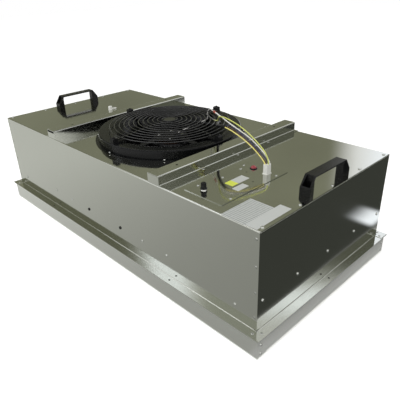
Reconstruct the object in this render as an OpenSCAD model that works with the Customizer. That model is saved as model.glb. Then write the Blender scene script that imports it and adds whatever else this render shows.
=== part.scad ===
// Fan filter unit for a cleanroom ceiling: a folded stainless housing with a
// backward-curved fan under a guarded inlet, standing on a framed filter.
// Millimetres. The origin is the middle of the footprint, on the filter's underside;
// X runs along the length, Y across the width and Z up.

/* [Housing] */
// Length of the steel housing over its panels
body_l = 1130; // [1060:1:1300]
// Width of the steel housing over its panels
body_w = 530; // [500:1:640]
// Height from the underside of the flange to the top sheet
body_h = 247; // [236:1:300]
// Thickness of the housing sheet
sheet_t = 1.2; // [1:0.1:2]
// Inside radius of the housing's folds
bend_r = 1.5; // [1:0.1:2.5]
// Width of the flange that stands out round the bottom
flange_w = 22.5; // [20:0.5:30]
// Width of the folded lips that join the panels
lip_w = 20; // [16:0.5:26]
// Distance from a housing corner to its rows of screws and rivets
edge_in = 8; // [7:0.5:10]

/* [Filter] */
// Distance that the flange stands out past the filter frame
flange_over = 5.5; // [3:0.5:8]
// Height of the filter frame
filter_h = 55; // [50:1:90]
// Thickness of the gasket between filter frame and flange
gasket_t = 2.5; // [2:0.1:5]
// Width of the gasket strip
gasket_w = 15; // [10:0.5:16]
// Wall of the frame's aluminium bars
bar_t = 1.6; // [1.2:0.1:2.4]
// Width of the frame bars' inner lips
bar_lip = 22; // [20:0.5:26]
// Distance of the screw ports in from the frame's outer face
port_in = 11; // [9:0.5:11.5]
// Height of the lower screw ports
port_low = 13.4; // [10:0.1:16]
// Height between the two screw ports of a corner
port_gap = 24; // [20:0.5:28]
// Pitch of the filter medium's pleats
pleat_pitch = 12; // [10:0.5:20]
// Thickness of the filter medium
pleat_t = 0.5; // [0.4:0.05:0.8]
// Pitch of the openings in the filter's face grids
grid_pitch = 60; // [45:1:90]
// Width of the face grids' bars
grid_bar = 3; // [2:0.1:5]
// Thickness of the face grids
grid_t = 2; // [1.5:0.1:3]

/* [Rails] */
// Width of a mounting rail
rail_w = 40; // [34:1:50]
// Height of a mounting rail
rail_h = 25; // [18:0.5:32]
// Width of the foot that fastens a rail to the top
rail_foot = 12.5; // [11:0.5:16]
// Slit over the end tabs of the right rail
rail_slit_right = 0.5; // [0.3:0.1:8]
// Slit over the end tabs of the left rail
rail_slit_left = 6; // [0.3:0.1:8]
// Thickness of the rails' sheet
rail_t = 1.5; // [1:0.1:2.5]
// Gap between a rail and the inlet ring
rail_gap = 1; // [0.5:0.1:6]
// Diameter of the hanger holes in the rails
rail_hole_d = 6; // [5:0.1:9]
// Distance of the hanger holes from the middle of the rail
rail_hole_y = 190; // [150:1:215]

/* [Inlet] */
// Distance of the fan's axis from the middle of the housing
fan_x = 4; // [0:0.5:10]
// Radius of the inlet ring's screwed flange
ring_flange_r = 224; // [223:0.5:226]
// Distance of the inlet ring's top rim inside its flange
ring_step = 11; // [10:0.5:14]
// Height of the inlet ring over the top sheet
ring_h = 25; // [20:0.5:32]
// Wall of the moulded inlet ring
ring_t = 2.5; // [2:0.1:3]
// Width of the flat rim before it turns down into the mouth
rim_w = 23; // [22:0.5:27]
// Radius of the bend with which the mouth turns down to its throat
mouth_bend = 55; // [52:0.5:60]

/* [Guard] */
// Number of wire rings in the guard
guard_rings = 12; // [10:1:13]
// Distance of the guard's outer wire ring inside the rim
guard_in = 11; // [8:0.5:18]
// Diameter of the guard's wire
guard_wire = 3.2; // [2.6:0.1:4]
// Height of the guard's outer ring over the inlet ring
guard_rise = 10; // [9:0.5:14]
// Height that the guard domes from its outer ring to its middle
guard_dome = 10; // [6:0.5:18]
// Radius of the solid disc in the middle of the guard
guard_disc_r = 18; // [14:0.5:20]

/* [Fan] */
// Radius of the impeller
fan_r = 200; // [190:0.5:206]
// Angle between the blades and the impeller's turn at their inner ends
blade_in = 25; // [20:1:32]
// Angle between the blades and the impeller's turn at their outer ends
blade_out = 38; // [34:1:46]
// Number of impeller blades
blades = 7; // [5:1:9]
// Height of the impeller's outlet
outlet_h = 66; // [55:0.5:72]
// Thickness of the impeller's sheet
fan_t = 2; // [1.5:0.1:2.5]
// Air gap between the mouth's throat and the impeller's eye
eye_gap = 3; // [2:0.1:5]
// Radius of the motor's rotor cup
rotor_r = 58; // [55:0.5:62]
// Gap between stator and rotor
motor_gap = 0.6; // [0.4:0.1:1]
// Diameter of the motor shaft
shaft_d = 8; // [7:0.1:9]

/* [Handles] */
// Length of a handle over its feet
handle_l = 163; // [150:1:180]
// Length of a handle's grip over the shoulders
handle_top_l = 127; // [120:1:134]
// Height of a handle
handle_h = 42; // [38:0.5:50]
// Width of a handle's outer faces
handle_w = 27; // [24:0.5:28]
// Width of a handle's inner faces
handle_inner_w = 19; // [17:0.5:22]
// Height of a handle's upright foot under the shoulder
handle_foot_h = 15.8; // [12:0.1:18]
// Length of a handle's foot
handle_leg = 21.5; // [20:0.5:24]
// Thickness of a handle's grip
grip_t = 5.5; // [5:0.1:9]
// Distance between a handle's middle line and the end of the housing
handle_in = 26.5; // [26:0.5:32]
// Distance from a handle's end to its screw
handle_screw_in = 11.5; // [10:0.5:13]

/* [Controls] */
// Length of the control plate across the unit
panel_l = 230; // [224:1:250]
// Width of the control plate along the unit
panel_w = 115; // [108:1:125]
// Thickness of the control plate
panel_t = 1.5; // [1:0.1:2]
// Distance of the control plate's middle from the end of the housing
panel_end = 181.5; // [175:0.5:185]
// Distance of the control plate's middle from the unit's long centre line
panel_y = -122; // [-126:0.5:-118]
// Diameter of the speed knob's skirt
knob_d = 16; // [14:0.5:20]
// Height of the speed knob
knob_h = 15; // [12:0.5:20]
// Diameter of the control's shaft
pot_shaft_d = 6; // [5:0.1:6.4]
// Diameter of the lamp's bezel
lamp_d = 19; // [18:0.5:24]
// Diameter of the lamp's lens
lens_d = 15; // [13:0.5:16]
// Height of the plug
plug_h = 23; // [20:0.5:26]

/* [Hidden] */
$fn = 48;

// Heights
flange_z = filter_h + gasket_t;
top_z = flange_z + body_h;
panel_z = top_z + panel_t;

// Clearances and small fastener sizes
screw_d = 4;
rivet_d = 4;
head_d = 7.5;
head_h = 2.2;
rivet_head_d = 7;
rivet_head_h = 1.2;
tail = 3;
mitre_gap = 0.3;
lip_gap = sheet_t + tail;
flange_lap = 1;

// Filter
filter_l = body_l + 2*(flange_w - flange_over);
filter_w = body_w + 2*(flange_w - flange_over);
pack_in = port_in + 6;
pack_l = filter_l - 2*pack_in;
pack_w = filter_w - 2*pack_in;

// Fastener rows of the housing
end_row = [for (i = [-2:2]) i*(body_w/2 - edge_in - 9)/2];
seam_row = [for (i = [0:3]) flange_z + 35 + i*(body_h - 53)/3];
side_row_z = flange_z + 60.5;
end_row_z = flange_z + 75.5;
plug_row = [-80, 80];
side_out = body_l/2 - 288;
side_in = side_out - 98.5;
side_row = [-side_out, -side_in, side_in, side_out];
cheek_x = body_l/2 - 62;
cheek_z = flange_z + 39.5;
flange_hole_x = body_l/2 - 270;
tray_over = 80;
tray_slot = [60, 90, 12];
tray_slot_in = 23;
tray_slot_row = [-150, 0, 150];

// Rails
rail_off = ring_flange_r + rail_gap + rail_w/2;
rail_row = [-128, 0, 128];

// Inlet and guard
ring_rim_r = ring_flange_r - ring_step;
mouth_r = ring_rim_r - rim_w;
throat_r = mouth_r - mouth_bend;
guard_r = mouth_r - guard_in;
guard_pitch = (guard_r - guard_disc_r - 4.8)/(guard_rings - 1);
ring_row_r = (ring_rim_r + ring_flange_r)/2 + 1.4;
top_hole_r = ring_rim_r - 12;
spider_t = 3;
spider_w = 18;
clip_r = ring_rim_r - 11;
clip_size = 16;
clip_h = 11.5;
clip_z = top_z + ring_h + spider_t;
guard_z = top_z + ring_h + guard_rise;
guard_arm_w = 4.5;
guard_arm_t = 2.6;

// Fan
eye_r = throat_r + ring_t + eye_gap;
throat_z = top_z + ring_h - mouth_bend;
lip_z = throat_z - 12;
eye_z = lip_z + 6;
shroud_z = lip_z - 24;
back_z = shroud_z - outlet_h;
hub_z = top_z - 8;
stator_z = hub_z - 8;
stator_h = 62;
stator_r = rotor_r - 12 - motor_gap;
rotor_z = stator_z - stator_h - 2;
rotor_base = 7;
bearing_d = 22;
bearing_w = 7;
bearing_fit = 0.02;
shaft_end_z = stator_z - 3;
gland_at = [37, -3];
gland_d = 24;
gland_h = 8;

// Handles
handle_x = body_l/2 - handle_in;
handle_pitch = handle_l - 2*handle_screw_in;
handle_edge = 2.5;
handle_wall = 3;
shoulder_t = 10;

// Controls
panel_x = body_l/2 - panel_end;
plate_screws = [[-49, -81], [-49, 78], [50, -80], [50, 80], [-39, 55], [-38, -11]];
plate_holes = [[-16, 50], [30, 19]];
knob_at = [-23, -88];
lamp_at = [-18, 79];
plug_at = [25.5, 76];
bezel_h = 2.2;
lamp_stem_d = 9.4;
plug_l = 16;
plug_w = 12;
socket_t = 1.5;
plug_base = panel_z + socket_t;
box_t = 1;
box_d = 58;
box_in = 13;
board_gap = 4;
nut_h = 2.6;
bush_d = 9;
knob_gap = 0.6;
port_at = [-366, 32];

// Wires: points from the middle of the unit, with heights over the top sheet
wire_d = 3;
sleeve_d = 8;
splice_at = 9;
sleeve_route = [[34, -8, 3], [34, -8, 8], [29, -2, 13], [20, 14, 18], [12, 34, 23],
    [17, 52, 26], [35, 62, 28], [61, 71, 28], [104, 85, 28], [130, 79, 28], [145, 68, 32],
    [148, 66, 40], [150, 63, 50], [170, 35, 58], [195, 8, 66], [222, -18, 75],
    [250, -34, 83], [272, -41, 87]];
white_route = [[36, 5, 3], [36, 5, 10], [35, 30, 12], [36, 116, 20], [38, 126, 28],
    [40, 125, 44], [50, 118, 53], [85, 92, 70], [140, 38, 92],
    [194, -1, 102], [246, -27, 103], [280, -38, 98], [314, -40, 88],
    [350, -38, 73], [382, -38, 54], [400, -39, 41], [410, -41, 32], [412, -41, 27],
    [412, -41, 23]];
green_route = [[42, 0, 3], [42, 0, 9], [46, 18, 12], [53, 92, 20], [57, 101, 30],
    [58, 100, 42], [66, 94, 50], [110, 64, 57], [160, 30, 66], [199, 4, 78],
    [223, -18, 95], [248, -38, 108], [283, -50, 113], [318, -42, 99],
    [354, -39, 80], [388, -40, 58], [403, -43, 46], [411, -46, 36], [412, -46, 29],
    [412, -46, 23]];
navy_route = [[269, -40, 88.6], [284, -39, 93], [306, -43, 88],
    [334, -43, 78], [360, -43, 64], [382, -43, 50], [398, -42, 38], [406, -41, 28],
    [406, -41, 23]];
yellow_route = [[269, -42.5, 86], [286, -47, 86], [308, -48, 81],
    [338, -48, 70], [366, -48, 56], [388, -49, 42], [402, -51, 32], [406, -51, 26],
    [406, -51, 23]];
brown_route = [[269, -39, 85], [284, -41, 88], [304, -43, 84],
    [334, -43, 73], [360, -43, 59], [382, -44, 45], [397, -46, 35], [406, -46, 27],
    [406, -46, 23]];

// ---------------------------------------------------------------- helpers

// Quarter of a folded sheet's bend, in the first quadrant round its centre
module bend_quarter(r, t) {
    intersection() {
        difference() {
            circle(r + t);
            circle(r);
        }
        square(r + t);
    }
}

// Extrudes an outline drawn in (Y, Z) along X, and one in (X, Z) along Y
module along_x(length) {
    rotate([90, 0, 90]) linear_extrude(length, center = true) children();
}

module along_y(length) {
    rotate([90, 0, 0]) linear_extrude(length, center = true) children();
}

// A pan-head screw pointing down from z = 0
module screw(d, head, head_t, length) {
    difference() {
        rotate_extrude() polygon([[0, -length], [d/2 - 0.5, -length], [d/2, -length + 0.5],
            [d/2, 0], [head/2, 0], [head/2, head_t*0.55], [head/2 - 0.8, head_t], [0, head_t]]);
        for (a = [0, 90]) rotate(a) translate([-head/3.4, -0.45, head_t - 1])
            cube([head/1.7, 0.9, 1.2]);
    }
}

// A blind rivet pointing down from z = 0
module rivet(length) {
    rotate_extrude() polygon([[0, -length], [rivet_d/2, -length], [rivet_d/2, 0],
        [rivet_head_d/2, 0], [rivet_head_d/2 - 0.6, rivet_head_h*0.7],
        [rivet_head_d/4, rivet_head_h], [0.9, rivet_head_h], [0.9, rivet_head_h - 0.5],
        [0, rivet_head_h - 0.5]]);
}

module drill(d) {
    cylinder(d = d, h = 12, center = true);
}

// The places of the housing's fasteners, each with its Z axis pointing out of the sheet
module at_seams() {
    for (sx = [-1, 1], sy = [-1, 1], z = seam_row)
        translate([sx*(body_l/2 - edge_in), sy*body_w/2, z]) rotate([-sy*90, 0, 0]) children();
}

module at_cover() {
    for (sx = [-1, 1], y = end_row)
        translate([sx*(body_l/2 - edge_in), y, top_z]) children();
}

module at_sides() {
    for (sy = [-1, 1]) {
        for (x = side_row)
            translate([x, sy*body_w/2, side_row_z]) rotate([-sy*90, 0, 0]) children();
        for (sx = [-1, 1])
            translate([sx*cheek_x, sy*body_w/2, cheek_z]) rotate([-sy*90, 0, 0]) children();
    }
}

module at_plugs() {
    for (sy = [-1, 1], x = plug_row)
        translate([x, sy*body_w/2, side_row_z]) rotate([-sy*90, 0, 0]) children();
}

module at_ends() {
    for (sx = [-1, 1], y = end_row)
        translate([sx*body_l/2, y, end_row_z]) rotate([0, sx*90, 0]) children();
}

module at_ring() {
    for (a = [0:45:315])
        translate([fan_x, 0, top_z]) rotate(a) translate([ring_row_r, 0, ring_t]) children();
}

module at_handle_screws() {
    for (sx = [-1, 1], sy = [-1, 1])
        translate([sx*handle_x, sy*handle_pitch/2, top_z]) children();
}

module at_rail_feet() {
    for (sx = [-1, 1], y = rail_row)
        translate([fan_x + sx*(rail_off + rail_w/2 + rail_foot - 5), y, top_z + rail_t])
            children();
}

module on_plate(p) {
    translate([panel_x + p[0], panel_y + p[1], panel_z]) children();
}

// The mitred flange of one side; depth is measured outwards from the panel's outer face
module flange(length, hole_at) {
    near = bend_r;
    far = flange_w;
    difference() {
        linear_extrude(sheet_t) polygon([
            [-length/2 - near + mitre_gap, near], [length/2 + near - mitre_gap, near],
            [length/2 + far - mitre_gap, far], [-length/2 - far + mitre_gap, far]]);
        for (x = hole_at) translate([x, flange_w/2, 0]) drill(5.5);
    }
}

// Points and rings for a round tube swept along a route
function unit(v) = v/norm(v);
function heading(p, i) = unit(p[min(i + 1, len(p) - 1)] - p[max(i - 1, 0)]);
function ring_at(p, i, r, n) =
    let (t = heading(p, i), u = unit(cross(t, [0.6, 1, 0.2])), v = cross(t, u))
    [for (k = [0:n - 1]) p[i] + r*cos(360*k/n)*u + r*sin(360*k/n)*v];

module tube(route, d, n) {
    m = len(route);
    points = [for (i = [0:m - 1]) each ring_at(route, i, d/2, n)];
    sides = [for (i = [0:m - 2], k = [0:n - 1])
        [i*n + k, i*n + (k + 1)%n, (i + 1)*n + (k + 1)%n, (i + 1)*n + k]];
    ends = [[for (k = [0:n - 1]) n - 1 - k], [for (k = [0:n - 1]) (m - 1)*n + k]];
    translate([0, 0, top_z]) polyhedron(points, concat(sides, ends), 4);
}

// ---------------------------------------------------------------- housing

// Outline of the folded cover in (Y, Z)
module cover_outline() {
    fold = bend_r + sheet_t;
    translate([-body_w/2 + fold, top_z - sheet_t]) square([body_w - 2*fold, sheet_t]);
    for (s = [0, 1]) mirror([s, 0]) {
        translate([body_w/2 - fold, top_z - fold]) bend_quarter(bend_r, sheet_t);
        translate([body_w/2 - sheet_t, flange_z + fold])
            square([sheet_t, body_h - 2*fold]);
        translate([body_w/2 + bend_r, flange_z + fold])
            rotate(180) bend_quarter(bend_r, sheet_t);
        translate([body_w/2 + bend_r, flange_z]) square([flange_lap, sheet_t]);
    }
}

module top_cover() {
    color("#b9bcb2") difference() {
        union() {
            along_x(body_l) cover_outline();
            for (a = [0, 180])
                rotate(a) translate([0, body_w/2, flange_z])
                    flange(body_l, [-flange_hole_x, flange_hole_x]);
        }
        translate([fan_x, 0, top_z]) cylinder(r = top_hole_r, h = 12, center = true);
        translate([panel_x, panel_y, top_z])
            cube([panel_w - 2*box_in, panel_l - 2*box_in, 12], center = true);
        at_seams() drill(rivet_d);
        at_cover() drill(screw_d);
        at_sides() drill(screw_d);
        at_plugs() drill(screw_d);
        at_ring() drill(screw_d);
        at_handle_screws() drill(6);
        at_rail_feet() drill(rivet_d);
        for (p = plate_screws) on_plate(p) drill(3);
        translate([port_at[0], port_at[1], top_z]) drill(8);
        at_corner_rivets() drill(rivet_d);
    }
}

// The space inside the cover's folds, which the end panels fill
module inside_outline() {
    w = body_w - 2*sheet_t;
    h = body_h - sheet_t;
    translate([-w/2, flange_z]) square([w, h - bend_r]);
    translate([-w/2 + bend_r, flange_z]) square([w - 2*bend_r, h]);
    for (s = [-1, 1])
        translate([s*(w/2 - bend_r), flange_z + h - bend_r]) circle(bend_r);
}

// Outline of an end panel in (X, Z), with its face at x = 0 and the inside towards -X
module end_outline() {
    fold = bend_r + sheet_t;
    wall_top = body_h - sheet_t;
    translate([-sheet_t, fold]) square([sheet_t, wall_top - 2*fold]);
    translate([bend_r, fold]) rotate(180) bend_quarter(bend_r, sheet_t);
    translate([bend_r, 0]) square([flange_lap, sheet_t]);
    translate([-fold, wall_top - fold]) bend_quarter(bend_r, sheet_t);
    translate([-lip_w, wall_top - sheet_t]) square([lip_w - fold, sheet_t]);
}

module end_panel() {
    inner_w = body_w - 2*sheet_t;
    difference() {
        union() {
            intersection() {
                union() {
                    translate([body_l/2, 0, flange_z]) along_y(inner_w) end_outline();
                    for (s = [-1, 1])
                        translate([body_l/2 - lip_w, s*(inner_w - sheet_t)/2 - sheet_t/2,
                            flange_z + lip_w])
                            cube([lip_w - sheet_t/2, sheet_t, body_h - lip_w - sheet_t]);
                }
                along_x(body_l + 2*flange_w) inside_outline();
            }
            translate([body_l/2, 0, flange_z]) rotate(-90) flange(body_w, [0]);
        }
        at_seams() drill(rivet_d);
        at_cover() drill(screw_d);
        at_ends() drill(screw_d);
        at_corner_rivets() drill(rivet_d);
    }
}

module end_panels() {
    color("#8f928a") for (s = [0, 1]) mirror([s, 0, 0]) end_panel();
}

// Two rivets hold each corner plate, one through each flange
module at_corner_rivets() {
    for (sx = [-1, 1], sy = [-1, 1], p = [[-2, 11.5], [11.5, -2]])
        translate([sx*(body_l/2 + p[0]), sy*(body_w/2 + p[1]), flange_z + 2*sheet_t])
            children();
}

module corner_plates() {
    inner = bend_r + mitre_gap;
    outer = flange_w - 1;
    start = -9;
    color("#c4c6bf") difference() {
        for (sx = [0, 1], sy = [0, 1]) mirror([sx, 0, 0]) mirror([0, sy, 0])
            translate([body_l/2, body_w/2, flange_z + sheet_t])
                linear_extrude(sheet_t) polygon([[start, inner], [start, outer],
                    [outer, outer], [outer, start], [inner, start], [inner, inner]]);
        at_corner_rivets() drill(rivet_d);
    }
}

module corner_rivets() {
    color("#a9aba4") at_corner_rivets() rivet(2*sheet_t);
}

module seam_rivets() {
    color("#a9aba4") at_seams() rivet(2*sheet_t + tail/2);
}

module cover_screws() {
    color("#c9cbc4") at_cover() screw(screw_d, head_d, head_h, 2*sheet_t + tail);
}

module side_screws() {
    color("#c9cbc4") {
        at_sides() screw(screw_d, head_d, head_h, 2*sheet_t + tail);
        at_ends() screw(screw_d, head_d, head_h, 2*sheet_t + tail);
    }
}

module side_plugs() {
    color("#1c1c1c") at_plugs() screw(screw_d, head_d + 1.5, head_h, 2*sheet_t + tail);
}

// ---------------------------------------------------------------- rails and handles

// A rail's channel in (X, Z): one wall ends in a foot, the other stands on its edge
module rail_outline() {
    fold = rail_t + bend_r;
    translate([-rail_w/2 + fold, rail_h - rail_t]) square([rail_w - 2*fold, rail_t]);
    for (s = [0, 1]) mirror([s, 0])
        translate([rail_w/2 - fold, rail_h - fold]) bend_quarter(bend_r, rail_t);
    translate([-rail_w/2, 0]) square([rail_t, rail_h - fold]);
    translate([rail_w/2 - rail_t, fold]) square([rail_t, rail_h - 2*fold]);
    translate([rail_w/2 + bend_r, fold]) rotate(180) bend_quarter(bend_r, rail_t);
    translate([rail_w/2 + bend_r, 0]) square([rail_foot - bend_r, rail_t]);
}

// One rail, with a tab folded across each end up to a slit under the top
module rail(slit) {
    difference() {
        union() {
            along_y(body_w) rail_outline();
            for (s = [-1, 1]) translate([0, s*(body_w - rail_t)/2, 0]) along_y(rail_t)
                translate([-rail_w/2 + rail_t/2, 0])
                    square([rail_w - rail_t, rail_h - rail_t - slit]);
        }
        for (y = [-rail_hole_y, rail_hole_y])
            translate([0, y, rail_h]) drill(rail_hole_d);
    }
}

module rails() {
    color("#c2c5bd") difference() {
        for (s = [0, 1]) translate([fan_x, 0, top_z]) mirror([s, 0, 0])
            translate([rail_off, 0, 0]) rail(s == 0 ? rail_slit_right : rail_slit_left);
        at_rail_feet() drill(rivet_d);
    }
}

module rail_rivets() {
    color("#a9aba4") at_rail_feet() rivet(rail_t + sheet_t);
}

// Side view of a bridge handle in (Y, Z)
module handle_outline() {
    inner_l = handle_l - 2*handle_leg;
    difference() {
        polygon([[-handle_l/2, 0], [-handle_l/2, handle_foot_h], [-handle_top_l/2, handle_h],
            [handle_top_l/2, handle_h], [handle_l/2, handle_foot_h], [handle_l/2, 0]]);
        translate([-inner_l/2, -1]) square([inner_l, handle_h - grip_t + 1]);
    }
}

// Section across a handle's bar: its flanks draw in from the outer face at y = 0 to the
// inner face at y = -depth. The side view trims what stands out past both and the sides
module handle_section(depth) {
    in = handle_inner_w/2;
    lean = (handle_w/2 - in)/(depth - handle_edge);
    out = handle_w/2 + lean*(handle_edge + 1);
    polygon([[-out, 1], [-in, -depth], [-in, -depth - 1], [in, -depth - 1], [in, -depth],
        [out, 1]]);
}

// The bar of a handle: grip, sloping shoulders and upright feet
module handle_bar() {
    rise = atan2(handle_h - handle_foot_h, (handle_l - handle_top_l)/2);
    translate([0, 0, handle_h]) along_y(handle_l) handle_section(grip_t);
    for (s = [0, 1]) mirror([0, s, 0]) {
        translate([0, handle_top_l/2, handle_h]) rotate([-rise, 0, 0])
            along_y(2*handle_h) handle_section(shoulder_t);
        translate([0, handle_l/2, -1]) linear_extrude(handle_h + 2) handle_section(handle_leg);
    }
}

// The pocket over a screw leaves a wall round it in the shoulder
module handle_pocket() {
    out = handle_l/2 - handle_edge;
    in = handle_l/2 - handle_leg + handle_wall;
    wide = handle_w/2 - handle_wall;
    narrow = handle_inner_w/2 - handle_wall + 1;
    translate([0, 0, 6]) linear_extrude(handle_h)
        polygon([[-wide, out], [-narrow, in], [narrow, in], [wide, out]]);
}

module handle() {
    color("#1b1b1a") difference() {
        intersection() {
            along_x(handle_w) handle_outline();
            handle_bar();
        }
        for (s = [0, 1]) mirror([0, s, 0]) {
            handle_pocket();
            translate([0, handle_pitch/2, 0]) cylinder(d = 6, h = 20, center = true);
        }
    }
}

module handle_right() {
    translate([handle_x, 0, top_z]) handle();
}

module handle_left() {
    translate([-handle_x, 0, top_z]) handle();
}

module handle_screws() {
    color("#55574f") at_handle_screws() translate([0, 0, 6]) difference() {
        union() {
            cylinder(d = 10, h = 6);
            translate([0, 0, -6 - sheet_t - tail]) cylinder(d = 6, h = 7 + sheet_t + tail);
        }
        translate([0, 0, 3]) cylinder(d = 5.6, h = 4, $fn = 6);
    }
}

// ---------------------------------------------------------------- inlet, guard and fan

// The inlet ring: flange and leaning wall, rolled rim, and the bell mouth down to its throat
module inlet_ring() {
    edge = ring_t + 0.5;
    foot_r = ring_rim_r + 2;
    lap = 1;
    color("#23242a") difference() {
        translate([fan_x, 0, top_z]) {
            rotate_extrude($fn = 96) polygon([[ring_rim_r - ring_t, ring_h - edge],
                [ring_rim_r, ring_h - edge], [foot_r, ring_t], [ring_flange_r, ring_t],
                [ring_flange_r, 0], [foot_r - ring_t, 0]]);
            rotate_extrude($fn = 96) translate([ring_rim_r - edge, ring_h - edge])
                bend_quarter(edge - ring_t, ring_t);
            rotate_extrude($fn = 96) translate([mouth_r - lap, ring_h - ring_t])
                square([ring_rim_r - edge - mouth_r + lap, ring_t]);
            rotate_extrude($fn = 96) translate([mouth_r, ring_h - mouth_bend])
                rotate(90) bend_quarter(mouth_bend - ring_t, ring_t);
            rotate_extrude($fn = 96) translate([throat_r, ring_h - mouth_bend - 12])
                square([ring_t, 12]);
        }
        at_ring() drill(screw_d);
        at_clips() drill(screw_d);
    }
}

module ring_screws() {
    color("#d4d6d0") at_ring() screw(screw_d, 6.4, head_h, ring_t + sheet_t + tail);
}

// The four clip places, with X pointing outwards
module at_clips() {
    for (a = [0:90:270])
        translate([fan_x, 0, clip_z]) rotate(a) translate([clip_r, 0, 0]) children();
}

// One arm of the motor spider in (R, Z), from the hub over the mouth to the rim
module spider_outline() {
    low = hub_z - top_z;
    high = ring_h;
    in = throat_r - 19;
    out = mouth_r - 24;
    polygon([[30, low], [in, low], [out, high], [clip_r + clip_size/2, high],
        [clip_r + clip_size/2, high + spider_t], [out - 1, high + spider_t],
        [in - 1, low + spider_t], [30, low + spider_t]]);
}

module motor_spider() {
    color("#1e1f20") difference() {
        union() {
            translate([fan_x, 0, hub_z]) cylinder(r = stator_r + 6, h = spider_t);
            for (a = [0:90:270])
                translate([fan_x, 0, top_z]) rotate(a) along_y(spider_w) spider_outline();
        }
        at_clips() drill(screw_d);
        at_motor_screws() drill(5);
    }
}

// Height of the guard's dome over its outer ring at a radius
function dome(r) = guard_dome*(1 - pow(r/guard_r, 2));

// The rings lie on four flat arms, a third of a wire deep in them
module fan_guard() {
    color("#1c1d1f") translate([fan_x, 0, guard_z]) {
        for (i = [0:guard_rings - 1]) {
            r = guard_r - i*guard_pitch;
            translate([0, 0, dome(r)]) rotate_extrude($fn = 72)
                translate([r, 0]) circle(d = guard_wire, $fn = 16);
        }
        translate([0, 0, dome(0) - guard_wire]) cylinder(r = guard_disc_r, h = guard_wire);
        for (a = [0:90:270]) rotate(a) along_y(guard_arm_w) arm_outline();
    }
}

// One arm of the guard in (R, Z): it follows the dome and drops into its clip
module arm_outline() {
    low = -guard_wire/3 - guard_arm_t;
    start = guard_disc_r - 6;
    knee = guard_r + 3;
    tip = [clip_r - screw_d/2 - 0.6, clip_z + 3 - guard_z];
    radii = [for (i = [0:6]) start + i*(knee - start)/6];
    under = [for (r = radii) [r, dome(r) + low]];
    polygon(concat(under, [tip, tip + [0, guard_arm_t]],
        [for (i = [6:-1:0]) under[i] + [0, guard_arm_t]]));
}

// A clip stands on each spider arm and holds the end of a guard arm in its slot
module guard_clips() {
    color("#141414") difference() {
        at_clips() clip_body();
        at_clips() cylinder(d = screw_d, h = 3*clip_h, center = true);
        translate([fan_x, 0, guard_z]) for (a = [0:90:270])
            rotate(a) along_y(guard_arm_w) arm_outline();
    }
}

module clip_body() {
    half = clip_size/2;
    intersection() {
        along_y(clip_size) polygon([[-half, 0], [-half, clip_h - 3], [-half + 3, clip_h],
            [half - 3, clip_h], [half, clip_h - 3], [half, 0]]);
        translate([-half, -half, 0]) cube([clip_size, clip_size, clip_h]);
    }
}

module clip_screws() {
    color("#3a3b3a") at_clips() translate([0, 0, clip_h])
        screw(screw_d, head_d, head_h, clip_h + spider_t + ring_t + tail);
}

// The screws that hang the stator on the hub, and those that hold the impeller to the rotor
module at_motor_screws() {
    translate([fan_x, 0, hub_z + spider_t]) for (a = [45:90:315])
        rotate(a) translate([stator_r - 10, 0, 0]) children();
}

module at_hub_screws() {
    translate([fan_x, 0, rotor_z - rotor_base - fan_t]) for (a = [0:60:300])
        rotate(a) translate([rotor_r - 10, 0, 0]) children();
}

module motor_screws() {
    color("#8f918c") at_motor_screws() screw(5, 9, 3, spider_t + 5);
}

module impeller_screws() {
    color("#8f918c") at_hub_screws() rotate([180, 0, 0])
        screw(screw_d, head_d, head_h, fan_t + rotor_base - 3);
}

// The leads enter the motor through a grommet on its hub
module lead_grommet() {
    color("#171717") translate([gland_at[0], gland_at[1], hub_z + spider_t])
        rotate_extrude() polygon([[0, 0], [gland_d/2, 0], [gland_d/2, 4],
            [gland_d/2 - 2, gland_h], [0, gland_h]]);
}

// Section of the impeller's back plate, hub cone and hub in (R, Z)
module back_outline() {
    hub_r = rotor_r + 12;
    cone_r = hub_r + 26;
    hub_top = rotor_z - rotor_base;
    polygon([[20, hub_top - fan_t], [hub_r, hub_top - fan_t], [cone_r, back_z - fan_t],
        [fan_r, back_z - fan_t], [fan_r, back_z], [cone_r + fan_t, back_z],
        [hub_r + fan_t, hub_top], [20, hub_top]]);
}

// Section of the impeller's front shroud in (R, Z)
module shroud_outline() {
    polygon([[eye_r, eye_z], [eye_r, lip_z - 6], [eye_r + 12, shroud_z + 4 - fan_t],
        [fan_r, shroud_z - 8 - fan_t], [fan_r, shroud_z - 8], [eye_r + 13, shroud_z + 4],
        [eye_r + fan_t, lip_z - 6], [eye_r + fan_t, eye_z]]);
}

// Room for the blades between back plate and shroud
module blade_room() {
    polygon([[eye_r - 22, back_z - fan_t/2], [fan_r - 1, back_z - fan_t/2],
        [fan_r - 1, shroud_z - 8 - fan_t/2], [eye_r + 12, shroud_z + 4 - fan_t/2],
        [eye_r + 4, shroud_z + 4 - fan_t/2], [eye_r - 22, shroud_z - 22]]);
}

// One backward-curved blade seen from above: an arc that meets the circles of its inner
// and outer ends at the two blade angles
module blade_plan() {
    in_r = eye_r - 22;
    arc_r = (fan_r*fan_r - in_r*in_r)/(2*(fan_r*cos(blade_out) - in_r*cos(blade_in)));
    away = sqrt(arc_r*arc_r + in_r*in_r - 2*arc_r*in_r*cos(blade_in));
    difference() {
        translate([away, 0]) difference() {
            circle(arc_r + fan_t, $fn = 96);
            circle(arc_r, $fn = 96);
        }
        translate([-2*fan_r, -4*fan_r]) square([6*fan_r, 4*fan_r]);
    }
}

module impeller() {
    color("#6d6f6b") difference() {
        impeller_body();
        at_hub_screws() drill(screw_d);
    }
}

module impeller_body() {
    translate([fan_x, 0, 0]) {
        rotate_extrude($fn = 96) back_outline();
        rotate_extrude($fn = 96) shroud_outline();
        for (i = [0:blades - 1]) rotate(i*360/blades) intersection() {
            translate([0, 0, back_z - fan_t]) linear_extrude(outlet_h + 40) blade_plan();
            rotate_extrude($fn = 96) blade_room();
        }
    }
}

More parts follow.
